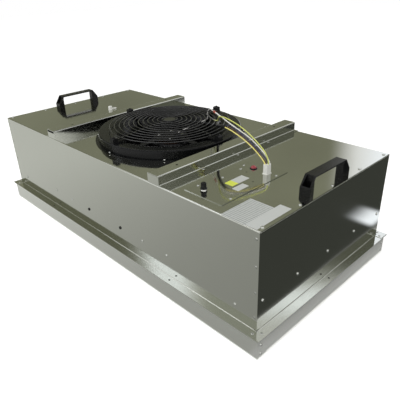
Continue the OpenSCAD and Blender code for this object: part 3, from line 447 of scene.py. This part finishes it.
def plate_mesh(name, outline, low, high):
    """A flat plate from an outline in the plan"""
    bm = bmesh.new()
    lower, upper = ([bm.verts.new((x, y, z)) for x, y in outline] for z in (low, high))
    n = len(outline)
    for i in range(n):
        bm.faces.new((lower[i], lower[(i + 1) % n], upper[(i + 1) % n], upper[i]))
    bm.faces.new(upper)
    bm.faces.new(list(reversed(lower)))
    return from_bmesh(name, bm)


def smooth_route(points, steps):
    """Points on a smooth curve through a route, in metres over the top sheet"""
    p = [Vector((x, y, z)) * MM + Vector((0, 0, TOP_Z)) for x, y, z in points]
    p = [2 * p[0] - p[1], *p, 2 * p[-1] - p[-2]]
    out = []
    for a, b, c, d in zip(p, p[1:], p[2:], p[3:]):
        for i in range(steps):
            t = i / steps
            out.append(0.5 * (2 * b + (c - a) * t + (2 * a - 5 * b + 4 * c - d) * t * t
                              + (3 * b - a - 3 * c + d) * t ** 3))
    out.append(p[-2])
    return out


def lead(name, points, diameter, material, steps):
    """A round lead along a route, as one curve piece"""
    route = smooth_route(points, steps)
    data = bpy.data.curves.new(name, "CURVE")
    data.dimensions = "3D"
    data.bevel_depth = diameter / 2
    data.bevel_resolution = 4
    data.use_fill_caps = True
    spline = data.splines.new("POLY")
    spline.points.add(len(route) - 1)
    for point, at in zip(spline.points, route):
        point.co = (*at, 1.0)
    spline.use_smooth = True
    data.materials.append(material)
    obj = bpy.data.objects.new(name, data)
    bpy.context.scene.collection.objects.link(obj)
    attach(obj, UNIT)
    length = sum((b - a).length for a, b in zip(route, route[1:]))
    return obj, route, length


# ---------------------------------------------------------------- operators


class FFU_OT_stage(bpy.types.Operator):
    """Makes the camera, the pale floor, the lamps and the reflectors"""

    bl_idname = "ffu.stage"
    bl_label = "Stage"

    CAMERA_AT = (1.0058, -0.8301, 0.7422)
    CAMERA_RIGHT = (0.69716, 0.71616, -0.03288)
    CAMERA_DOWN = (0.30809, -0.34069, -0.88826)
    CAMERA_AHEAD = (-0.64734, 0.60913, -0.45816)
    LAMP_AIM = (0, 0, 0.15)
    FLOOR_REACH = 9.0
    FLOOR_DROP = 0.0006
    FLOOR_GLOW = 0.5

    def execute(self, context):
        s = context.scene.ffu_stage
        self.camera(context, s)
        self.floor(context, s)
        self.lamp(context, "key_lamp", (1.2, -2.6, 2.7), (3.3, 3.3), s.key_power, False)
        self.lamp(context, "top_softbox", (-0.5, -0.3, 2.6), (0.5, 2.2), s.top_power, True)
        # name, tint, radius, turn in degrees, heights, soft edges in degrees and metres, strength
        for card in (
            ("wall_card", s.wall_tint, 2.6, (103, 224), (0.25, 2.5), (6, 0.35), 1.0),
            ("front_card", s.front_tint, 2.6, (230, 256), (1.2, 3.4), (5, 0.5), 1.0),
            ("right_card", s.shade_tint, 2.6, (22, 84), (0.1, 1.9), (7, 0.35), 1.0),
            ("corner_streak", s.glint_tint, 2.6, (82, 105), (0.6, 1.8), (7, 0.3), 1.5),
            ("front_streak", s.glint_tint, 2.61, (220, 232), (1.2, 3.4), (4, 0.5), 1.9),
            ("right_streak", s.glint_tint, 2.61, (36, 55), (1.78, 2.25), (4, 0.16), 1.9),
        ):
            self.card(context, *card)
        # name, tones, extent along X, extent along Y, height, soft edges, strength
        for mat in (
            ("side_mat", (s.left_tint, s.right_tint), (-2.8, 0.62), (-1.7, -0.25), 0.004,
             (0.5, 0, 0.5, 0), 1.0),
            ("end_mat", (s.dark_tint, s.dark_tint), (0.61, 2.4), (-0.9, 2.4), 0.008,
             (0.02, 0, 0.5, 0.5), 1.0),
            ("foot_mat", (s.foot_tint, s.foot_tint), (0.56, 0.64), (-0.5, 0.5), 0.006,
             (0, 0.02, 0.1, 0.1), 1.0),
            ("end_glint", (s.glint_tint, s.glint_tint), (0.618, 0.735), (0.36, 0.50), 0.012,
             (0.02, 0.09, 0.04, 0.04), 1.6),
            ("ceiling_card", (s.ceiling_tint, s.ceiling_tint), (-2.2, 1.6), (-1.9, 1.9), 3.0,
             (0.5, 0.5, 0.5, 0.5), 1.0),
        ):
            self.flat_card(context, *mat)
        self.world(context, s)
        context.scene.view_settings.view_transform = "Standard"
        return {"FINISHED"}

    def camera(self, context, s):
        cam = bpy.data.objects.new("camera", bpy.data.cameras.new("camera"))
        cam.data.lens, cam.data.sensor_width = s.lens, 36
        cam.data.clip_start, cam.data.clip_end = 0.05, 40
        right, down = Vector(self.CAMERA_RIGHT), Vector(self.CAMERA_DOWN)
        turn = Matrix((right, -down, -Vector(self.CAMERA_AHEAD))).transposed().to_4x4()
        cam.matrix_world = Matrix.Translation(self.CAMERA_AT) @ turn
        context.scene.collection.objects.link(cam)
        context.scene.camera = cam

    def background(self, tree):
        """1 for the rays that see the background: the camera's, mirrored and refracted ones"""
        path = node(tree, "LightPath")
        mirrors = math_node(tree, "MAXIMUM", path.outputs["Is Glossy Ray"],
                            path.outputs["Is Transmission Ray"])
        return math_node(tree, "MAXIMUM", path.outputs["Is Camera Ray"], mirrors)

    def floor(self, context, s):
        bm = bmesh.new()
        bmesh.ops.create_grid(bm, x_segments=8, y_segments=8, size=self.FLOOR_REACH)
        mesh = from_bmesh("floor", bm)
        floor = bpy.data.objects.new("floor", mesh)
        floor.location.z = -self.FLOOR_DROP
        mat = bpy.data.materials.new("pale_floor")
        mat.use_nodes = True
        tree = mat.node_tree
        shader = tree.nodes["Principled BSDF"]
        shader.inputs["Roughness"].default_value = 0.85
        shader.inputs["Specular IOR Level"].default_value = 0.1
        cloud = noise(tree, object_place(tree), 1.3)
        darker = [c * 0.98 for c in s.floor_tint]
        tone = mix_colour(tree, cloud, rgba(s.floor_tint), rgba(darker))
        tree.links.new(tone, shader.inputs["Base Color"])
        glow = node(tree, "Emission")
        glow.inputs["Color"].default_value = (1, 1, 1, 1)
        strength = math_node(tree, "MULTIPLY", self.background(tree), self.FLOOR_GLOW)
        tree.links.new(strength, glow.inputs["Strength"])
        both = node(tree, "AddShader")
        tree.links.new(shader.outputs[0], both.inputs[0])
        tree.links.new(glow.outputs[0], both.inputs[1])
        tree.links.new(both.outputs[0], tree.nodes["Material Output"].inputs["Surface"])
        mesh.materials.append(mat)
        context.scene.collection.objects.link(floor)

    def lamp(self, context, name, at, size, power, mirrored):
        data = bpy.data.lights.new(name, "AREA")
        data.shape, data.size, data.size_y, data.energy = "RECTANGLE", *size, power
        lamp = bpy.data.objects.new(name, data)
        lamp.location = at
        lamp.visible_glossy = mirrored
        lamp.rotation_mode = "QUATERNION"
        aim = Vector(self.LAMP_AIM) - lamp.location
        lamp.rotation_quaternion = aim.to_track_quat("-Z", "Y")
        context.scene.collection.objects.link(lamp)

    def card(self, context, name, tint, radius, turn, heights, soft, strength):
        """A curved grey card round the unit that only mirrors see, with soft edges"""
        steps = 24
        half = (turn[1] - turn[0]) / 2
        bm = bmesh.new()
        rows = []
        for z in heights:
            angles = [math.radians(half * (2 * i / steps - 1)) for i in range(steps + 1)]
            rows.append([bm.verts.new((radius * math.cos(a), radius * math.sin(a), z))
                         for a in angles])
        for i in range(steps):
            bm.faces.new((rows[0][i], rows[0][i + 1], rows[1][i + 1], rows[1][i]))
        mesh = from_bmesh(name, bm)
        mat = bpy.data.materials.new(name)
        mat.use_nodes = True
        tree = mat.node_tree
        tree.nodes.remove(tree.nodes["Principled BSDF"])
        place = node(tree, "TexCoord").outputs["Object"]
        split = node(tree, "SeparateXYZ")
        tree.links.new(place, split.inputs[0])
        angle = math_node(tree, "ARCTAN2", split.outputs["Y"], split.outputs["X"])
        near = self.ramp(tree, math_node(tree, "ABSOLUTE", angle), math.radians(half),
                         math.radians(half - soft[0]))
        level = math_node(
            tree, "MULTIPLY",
            self.ramp(tree, split.outputs["Z"], heights[0], heights[0] + soft[1]),
            self.ramp(tree, split.outputs["Z"], heights[1], heights[1] - soft[1]),
        )
        cloud = noise(tree, place, 1.4, detail=1.5)
        darker, lighter = ([c * k for c in tint] for k in (0.7, 1.3))
        tone = mix_colour(tree, cloud, rgba(darker), rgba(lighter))
        mask = math_node(tree, "MULTIPLY", near, level)
        turned = self.for_mirrors(context, name, mesh, tree, tone, mask, strength)
        turned.rotation_euler.z = math.radians((turn[0] + turn[1]) / 2)

    def flat_card(self, context, name, tints, across, along, z, soft, strength):
        """A level card that only mirrors see. Its tone changes along X, its edges may be soft"""
        tone_from, tone_to = -1.0, 0.55
        corners = ((across[0], along[0]), (across[1], along[0]),
                   (across[1], along[1]), (across[0], along[1]))
        bm = bmesh.new()
        bm.faces.new([bm.verts.new((x, y, z)) for x, y in corners])
        mesh = from_bmesh(name, bm)
        mat = bpy.data.materials.new(name)
        mat.use_nodes = True
        tree = mat.node_tree
        tree.nodes.remove(tree.nodes["Principled BSDF"])
        place = node(tree, "TexCoord").outputs["Object"]
        split = node(tree, "SeparateXYZ")
        tree.links.new(place, split.inputs[0])
        tone = mix_colour(tree, self.ramp(tree, split.outputs["X"], tone_from, tone_to),
                          rgba(tints[0]), rgba(tints[1]))
        mask = 1.0
        for axis, start, width in (("X", across[0], soft[0]), ("X", across[1], -soft[1]),
                                   ("Y", along[0], soft[2]), ("Y", along[1], -soft[3])):
            if width:
                edge = self.ramp(tree, split.outputs[axis], start, start + width)
                mask = math_node(tree, "MULTIPLY", edge, mask)
        self.for_mirrors(context, name, mesh, tree, tone, mask, strength)

    def for_mirrors(self, context, name, mesh, tree, tone, mask, strength):
        """Links a stage card that glows in its tone where its mask is 1, for glossy rays alone"""
        glow = node(tree, "Emission")
        tree.links.new(tone, glow.inputs["Color"])
        glow.inputs["Strength"].default_value = strength
        mix = node(tree, "MixShader")
        tree.links.new(mask, mix.inputs[0])
        tree.links.new(node(tree, "BsdfTransparent").outputs[0], mix.inputs[1])
        tree.links.new(glow.outputs[0], mix.inputs[2])
        tree.links.new(mix.outputs[0], tree.nodes["Material Output"].inputs["Surface"])
        mesh.materials.append(bpy.data.materials[name])
        card = bpy.data.objects.new(name, mesh)
        card.visible_camera = card.visible_diffuse = card.visible_shadow = False
        card.visible_transmission = card.visible_volume_scatter = False
        context.scene.collection.objects.link(card)
        return card

    def ramp(self, tree, value, start, end):
        """Rises smoothly from 0 at start to 1 at end"""
        made = node(tree, "MapRange", interpolation_type="SMOOTHSTEP")
        made.inputs["From Min"].default_value = min(start, end)
        made.inputs["From Max"].default_value = max(start, end)
        made.inputs["To Min"].default_value = 0.0 if start < end else 1.0
        made.inputs["To Max"].default_value = 1.0 if start < end else 0.0
        tree.links.new(value, made.inputs["Value"])
        return made.outputs["Result"]

    def world(self, context, s):
        world = context.scene.world or bpy.data.worlds.new("World")
        context.scene.world = world
        world.use_nodes = True
        tree = world.node_tree
        tree.nodes.clear()
        seen = node(tree, "Background", _0=(1, 1, 1, 1), _1=1.0)
        soft = node(tree, "Background", _0=(1, 1, 1, 1), _1=s.sky)
        mix = node(tree, "MixShader")
        tree.links.new(self.background(tree), mix.inputs[0])
        tree.links.new(soft.outputs[0], mix.inputs[1])
        tree.links.new(seen.outputs[0], mix.inputs[2])
        tree.links.new(mix.outputs[0], node(tree, "OutputWorld").inputs[0])


class FFU_OT_leads(bpy.types.Operator):
    """Lays the five motor leads, the black sleeve and the red crimp cover"""

    bl_idname = "ffu.leads"
    bl_label = "Motor leads"

    SLEEVE = [(34, -8, 3), (34, -8, 8), (29, -2, 13), (20, 14, 18), (12, 34, 23), (17, 52, 26),
              (35, 62, 28), (61, 71, 28), (104, 85, 28), (130, 79, 28), (145, 68, 32),
              (148, 66, 40), (150, 63, 50), (170, 35, 58), (195, 8, 66), (222, -18, 75),
              (250, -34, 83), (272, -41, 87)]
    WHITE = [(36, 5, 3), (36, 5, 10), (35, 30, 12), (36, 116, 20), (38, 126, 28), (40, 125, 44),
             (50, 118, 53), (85, 92, 70), (140, 38, 92), (194, -1, 102), (246, -27, 103),
             (280, -38, 98), (314, -40, 88), (350, -38, 73), (382, -38, 54), (400, -39, 41),
             (410, -41, 32), (412, -41, 27), (412, -41, 23)]
    GREEN = [(42, 0, 3), (42, 0, 9), (46, 18, 12), (53, 92, 20), (57, 101, 30), (58, 100, 42),
             (66, 94, 50), (110, 64, 57), (160, 30, 66), (199, 4, 78), (223, -18, 95),
             (248, -38, 108), (283, -50, 113), (318, -42, 99), (354, -39, 80), (388, -40, 58),
             (403, -43, 46), (411, -46, 36), (412, -46, 29), (412, -46, 23)]
    NAVY = [(269, -40, 88.6), (284, -39, 93), (306, -43, 88), (334, -43, 78), (360, -43, 64),
            (382, -43, 50), (398, -42, 38), (406, -41, 28), (406, -41, 23)]
    YELLOW = [(269, -42.5, 86), (286, -47, 86), (308, -48, 81), (338, -48, 70), (366, -48, 56),
              (388, -49, 42), (402, -51, 32), (406, -51, 26), (406, -51, 23)]
    BROWN = [(269, -39, 85), (284, -41, 88), (304, -43, 84), (334, -43, 73), (360, -43, 59),
             (382, -44, 45), (397, -46, 35), (406, -46, 27), (406, -46, 23)]

    def execute(self, context):
        s = context.scene.ffu_leads
        black = black_moulding("sleeve_black", 0.42, 1400, 0.00003)
        sleeve, route, length = lead("sleeve_of_leads", self.SLEEVE, s.sleeve_d, black,
                                     s.steps)
        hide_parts("motor_sleeve")
        for name, points, tint in (("white", self.WHITE, s.white), ("green", self.GREEN, s.green),
                                   ("navy", self.NAVY, s.navy), ("yellow", self.YELLOW, s.yellow),
                                   ("brown", self.BROWN, s.brown)):
            cover = coloured_plastic("insulation_" + name, tint, 0.28, 0.25)
            # Painted shade: the earth wire's run under the guard is coloured black
            if name == "green":
                paint_shade_on_inner_run(cover, s.painted_shade_to)
            wire, route, length = lead("lead_" + name, points, s.wire_d, cover,
                                       s.steps)
            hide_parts("wire_" + name)
        dress(coloured_plastic("splice_red", (0.42, 0.045, 0.02), 0.25, 0.4), "wire_splice")
        dress(black_moulding("grommet_rubber", 0.6, 500, 0.00003), "lead_grommet")
        return {"FINISHED"}


class FFU_OT_housing(bpy.types.Operator):
    """Finishes the folded housing, its corner plates, rails and fasteners"""

    bl_idname = "ffu.housing"
    bl_label = "Housing"

    def execute(self, context):
        s = context.scene.ffu_sheet
        dress(mirror_steel("bright_cover"), "top_cover")
        dress(mirror_steel("bright_ends", grain=(180.0, 4.0, 180.0)), "end_panels")
        dress(mirror_steel("bright_corners", waves=12.0, rough=0.1), "corner_plates")
        dress(mirror_steel("bright_rails", grain=(180.0, 4.0, 180.0), waves=5.0, rough=0.09),
              "rails")
        dress(mirror_steel("rivet_steel", (0.50, 0.51, 0.48), (60.0, 60.0, 60.0), 0.24, 40.0),
              "corner_rivets", "seam_rivets", "rail_rivets")
        dress(mirror_steel("screw_steel", (0.72, 0.73, 0.70), (90.0, 90.0, 90.0), 0.16, 40.0),
              "cover_screws", "side_screws", "ring_screws", "panel_screws", "bar_screws")
        dress(black_moulding("black_screws", 0.28, 1500, 0.00001),
              "side_plugs", "handle_screws", "clip_screws")
        zinc = surface("zinc_sheet", "rolled_sheet",
                       {"Tint": rgba(s.zinc_tint), "Roughness": 0.32, "Waves": 30.0, "Smudge": 0.3,
                        "Grain": (30.0, 30.0, 30.0)}, 0.00008, Metallic=1.0)
        dress(zinc, "baffle_tray", "air_deflectors", "control_box")
        return {"FINISHED"}


class FFU_OT_handles(bpy.types.Operator):
    """Finishes the two bridge handles and rounds their edges"""

    bl_idname = "ffu.handles"
    bl_label = "Handles"

    def execute(self, context):
        s = context.scene.ffu_moulding
        black = black_moulding("handle_plastic", s.handle_rough, 1100, 0.00002)
        for name in ("handle_right", "handle_left"):
            dress(black, name)
            obj = NODES[name]
            weld = obj.modifiers.new("weld", "WELD")
            weld.merge_threshold = 0.00001
            round_off = obj.modifiers.new("round_edges", "BEVEL")
            round_off.width = s.edge_round
            round_off.segments = 3
            round_off.limit_method = "ANGLE"
            round_off.angle_limit = SMOOTH_ANGLE
            round_off.harden_normals = True
        return {"FINISHED"}


class FFU_OT_inlet(bpy.types.Operator):
    """Finishes the inlet ring, the wire guard, its clips and the motor spider"""

    bl_idname = "ffu.inlet"
    bl_label = "Inlet and guard"

    def execute(self, context):
        s = context.scene.ffu_moulding
        dress(black_moulding("ring_plastic", s.ring_rough, 1300, 0.00001, (0.004, 0.0043, 0.0046),
                             specular=s.ring_specular), "inlet_ring")
        dress(black_moulding("clip_plastic", 0.4, 1300, 0.00002), "guard_clips")
        dress(black_moulding("guard_coat", s.guard_rough, 2000, 0.00001, (0.006, 0.0063, 0.0066),
                             specular=s.guard_specular), "fan_guard")
        dress(black_moulding("spider_coat", 0.45, 1500, 0.00001), "motor_spider")
        return {"FINISHED"}


class FFU_OT_fan(bpy.types.Operator):
    """Finishes the impeller and the motor"""

    bl_idname = "ffu.fan"
    bl_label = "Fan and motor"

    def execute(self, context):
        dress(black_moulding("impeller_plastic", 0.38, 1200, 0.00002, (0.005, 0.0052, 0.0056)),
              "impeller")
        dress(black_moulding("motor_paint", 0.4, 1200, 0.00002, (0.012, 0.0124, 0.0135)),
              "motor_rotor")
        dress(mirror_steel("machine_steel", (0.55, 0.55, 0.53), (300.0, 300.0, 6.0), 0.22, 30.0),
              "motor_shaft", "motor_bearings", "motor_screws", "impeller_screws", "pot_shaft")
        dress(surface("wound_core", "moulded",
                      {"Tint": (0.055, 0.03, 0.018, 1), "Roughness": 0.45, "Grain": 500.0,
                       "Mottle": 80.0}, 0.0003), "motor_stator")
        return {"FINISHED"}


class FFU_OT_filter(bpy.types.Operator):
    """Finishes the filter frame, its grids, its medium and the gasket"""

    bl_idname = "ffu.filter"
    bl_label = "Filter"

    def execute(self, context):
        s = context.scene.ffu_sheet
        for name, grain, nodes in (("frame_bars_long", (3.0, 400.0, 400.0), "filter_bars_long"),
                                   ("frame_bars_short", (400.0, 3.0, 400.0), "filter_bars_short")):
            dress(surface(name, "rolled_sheet",
                          {"Tint": rgba(s.frame_tint), "Roughness": s.frame_rough, "Waves": 4.0,
                           "Smudge": 0.12, "Grain": grain}, 0.0003, Metallic=1.0), nodes)
        dress(surface("gasket_foam", "fibres",
                      {"Light": (0.03, 0.03, 0.03, 1), "Dark": (0.012, 0.012, 0.012, 1),
                       "Size": 900.0}, 0.0002, 0.8), "filter_gasket")
        dress(surface("grid_coat", "moulded",
                      {"Tint": (0.80, 0.80, 0.78, 1), "Roughness": 0.4, "Grain": 900.0,
                       "Mottle": 18.0}, 0.00002), "outlet_grid", "inlet_grid")
        dress(surface("filter_paper", "fibres",
                      {"Light": (0.90, 0.90, 0.87, 1), "Dark": (0.74, 0.74, 0.70, 1),
                       "Size": 500.0}, 0.0004, 0.9), "filter_medium")
        return {"FINISHED"}


class FFU_OT_controls(bpy.types.Operator):
    """Finishes the control plate, the knob, the lamp, the plug and the board"""

    bl_idname = "ffu.controls"
    bl_label = "Controls"

    def execute(self, context):
        dress(mirror_steel("bright_plate", (0.60, 0.61, 0.565), waves=6.0), "control_plate")
        dress(black_moulding("knob_plastic", 0.32, 1800, 0.00001),
              "speed_knob", "speed_pot", "lamp_bezel")
        dress(mirror_steel("nut_nickel", (0.85, 0.85, 0.83), (120.0, 120.0, 120.0), 0.12, 60.0),
              "pot_nut")
        dress(coloured_plastic("lamp_red", (0.33, 0.045, 0.055), 0.22, 0.3), "lamp_lens")
        dress(coloured_plastic("nylon_white", (0.80, 0.80, 0.755), 0.32, 0.1),
              "motor_socket", "motor_plug", "test_port", "port_cap")
        dress(surface("board_green", "moulded",
                      {"Tint": (0.03, 0.12, 0.05, 1), "Roughness": 0.35, "Grain": 900.0,
                       "Mottle": 90.0}, 0.0001), "driver_board")
        return {"FINISHED"}


class FFU_OT_labels(bpy.types.Operator):
    """Sticks the plain labels on the control plate and the cover"""

    bl_idname = "ffu.labels"
    bl_label = "Labels"

    # name, centre in the plan, size, height of the sheet under it
    PLAIN = [
        ("strip_label", (0.3835, -0.1135), (0.025, 0.039), PLATE_Z),
        ("code_label", (0.4125, -0.1455), (0.019, 0.037), PLATE_Z),
        ("side_label", (0.5405, -0.206), (0.029, 0.112), TOP_Z),
    ]

    def execute(self, context):
        s = context.scene.ffu_labels
        paper = self.paper("label_paper", s.paper, None)
        for name, at, size, z in self.PLAIN:
            self.label(name, at, size, z, s, paper)
        field = self.paper("label_field", s.field, None)
        self.label("yellow_label", (0.3835, -0.1435), (0.025, 0.021), PLATE_Z, s, field)
        ruled = self.paper("label_ruled", s.paper, s.rule_pitch if s.ruled else None)
        self.label("big_label", (0.4945, -0.217), (0.063, 0.094), TOP_Z, s, ruled)
        return {"FINISHED"}

    def label(self, name, at, size, z, s, material):
        outline = [(at[0] + x, at[1] + y) for x, y in rounded_rectangle(*size, s.corner)]
        mesh = plate_mesh(name, outline, z, z + s.thickness)
        add_piece(name, mesh, material, UNIT)

    def paper(self, name, tint, pitch):
        """Coated paper, with faint ruled lines at a pitch where one is given"""
        ink, gap_share = (0.20, 0.225, 0.21), 0.55
        darker = [c * 0.93 for c in tint]
        mat = surface(name, "fibres", {"Light": rgba(tint), "Dark": rgba(darker), "Size": 900.0},
                      0.00002, 0.42)
        if pitch:
            tree = mat.node_tree
            shader = tree.nodes["Principled BSDF"]
            base = shader.inputs["Base Color"].links[0].from_socket
            split = node(tree, "SeparateXYZ")
            tree.links.new(object_place(tree), split.inputs[0])
            saw = math_node(tree, "FRACT", math_node(tree, "DIVIDE", split.outputs["Y"], pitch))
            line = math_node(tree, "GREATER_THAN", saw, gap_share)
            worn = noise(tree, object_place(tree), 170.0, detail=3.0)
            mask = math_node(tree, "MULTIPLY", line, math_node(tree, "MULTIPLY", worn, 1.2, True))
            tree.links.new(mix_colour(tree, mask, base, rgba(ink)), shader.inputs["Base Color"])
        return mat


class FFU_PT_panel(bpy.types.Panel):
    """Lists the unit's pieces"""

    bl_idname = "FFU_PT_panel"
    bl_label = "Filter unit"
    bl_space_type = "VIEW_3D"
    bl_region_type = "UI"
    bl_category = "Filter unit"

    def draw(self, context):
        for item in OPERATORS:
            self.layout.operator(item.bl_idname)


SETTINGS = {
    "ffu_sheet": SheetSettings,
    "ffu_moulding": MouldingSettings,
    "ffu_leads": LeadSettings,
    "ffu_labels": LabelSettings,
    "ffu_stage": StageSettings,
}
OPERATORS = (
    FFU_OT_stage,
    FFU_OT_leads,
    FFU_OT_housing,
    FFU_OT_handles,
    FFU_OT_inlet,
    FFU_OT_fan,
    FFU_OT_filter,
    FFU_OT_controls,
    FFU_OT_labels,
)


def register():
    for item in (*SETTINGS.values(), *OPERATORS, FFU_PT_panel):
        bpy.utils.register_class(item)
    for name, item in SETTINGS.items():
        setattr(bpy.types.Scene, name, PointerProperty(type=item))


def unregister():
    for name in SETTINGS:
        delattr(bpy.types.Scene, name)
    for item in reversed((*SETTINGS.values(), *OPERATORS, FFU_PT_panel)):
        bpy.utils.unregister_class(item)


def main():
    """Builds the whole scene"""
    register()
    for item in OPERATORS:
        group_name, call = item.bl_idname.split(".")
        result = getattr(getattr(bpy.ops, group_name), call)()
        if result != {"FINISHED"}:
            raise RuntimeError(item.bl_label + " didn't finish")


if __name__ == "__main__":
    main()
